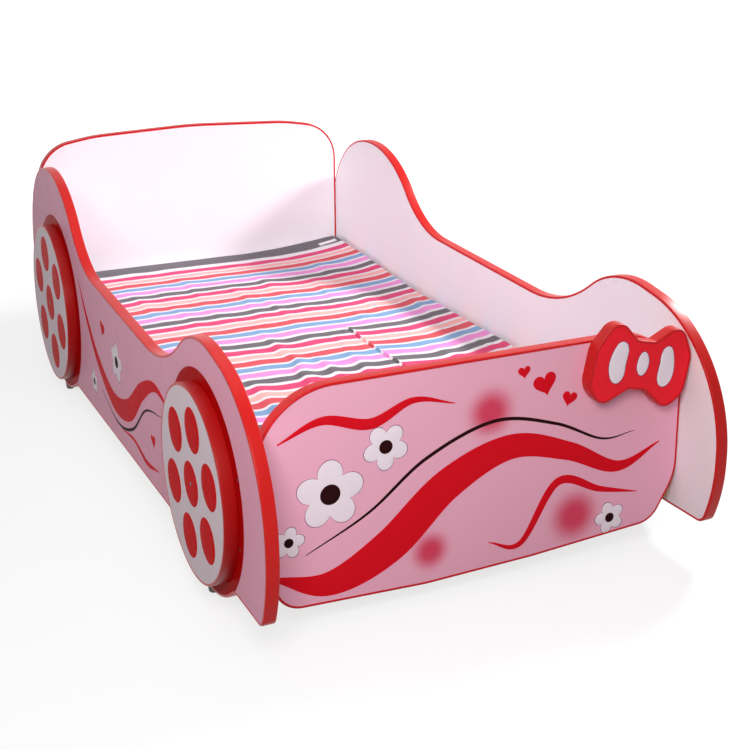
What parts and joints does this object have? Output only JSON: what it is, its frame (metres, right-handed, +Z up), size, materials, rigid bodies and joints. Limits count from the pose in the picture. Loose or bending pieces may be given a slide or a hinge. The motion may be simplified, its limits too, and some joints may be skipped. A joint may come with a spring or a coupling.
{
  "type": "children's car bed",
  "caption": "Car-shaped bed for a child: humped side boards with wheel discs, front board with a bow, headboard, slatted base and a loose striped mattress.",
  "frame": {"origin": "on the floor under the middle of the bed's overall box", "axes": "+X to the right seen from the front board, +Y from the front board to the headboard, +Z up"},
  "size_m": [1.127, 2.106, 0.7228],
  "materials": {
    "pink_laminate": "laminated board, printed, glossy outside and white inside",
    "wheel_laminate": "laminated board, printed, glossy",
    "bow_laminate": "laminated board, printed, glossy",
    "edging": "soft glossy profile",
    "bow_edging": "soft glossy profile",
    "zinc_steel": "zinc plated",
    "rail_wood": "planed pine",
    "slat_wood": "birch, light and smooth",
    "webbing": "woven tape",
    "foot_plastic": "dark moulded plastic",
    "mattress_cover": "striped woven cover"
  },
  "bodies": {
    "bed": {"bow_board": "bow_laminate", "bow_edging": "bow_edging", "front_board": "pink_laminate", "front_cleat": "rail_wood", "front_connector_screws": "zinc_steel", "front_edging": "edging", "front_left_foot": "foot_plastic", "front_left_wheel": "wheel_laminate", "front_left_wheel_edging": "edging", "front_right_foot": "foot_plastic", "front_right_wheel": "wheel_laminate", "front_right_wheel_edging": "edging", "headboard": "pink_laminate", "headboard_edging": "edging", "left_rail": "rail_wood", "left_side_board": "pink_laminate", "left_side_edging": "edging", "left_slat_strap": "webbing", "rear_cleat": "rail_wood", "rear_connector_screws": "zinc_steel", "rear_left_foot": "foot_plastic", "rear_left_wheel": "wheel_laminate", "rear_left_wheel_edging": "edging", "rear_right_foot": "foot_plastic", "rear_right_wheel": "wheel_laminate", "rear_right_wheel_edging": "edging", "right_rail": "rail_wood", "right_side_board": "pink_laminate", "right_side_edging": "edging", "right_slat_strap": "webbing", "slat_01": "slat_wood", "slat_02": "slat_wood", "slat_03": "slat_wood", "slat_04": "slat_wood", "slat_05": "slat_wood", "slat_06": "slat_wood", "slat_07": "slat_wood", "slat_08": "slat_wood", "slat_09": "slat_wood", "slat_10": "slat_wood", "slat_11": "slat_wood", "slat_12": "slat_wood", "slat_13": "slat_wood"},
    "mattress": {"mattress": "mattress_cover"}
  },
  "joints": [
    {"name": "mattress_lift", "type": "slide", "parent": "bed", "child": "mattress", "axis": [0, 0, 1], "range_m": [0, 0.45]}
  ]
}
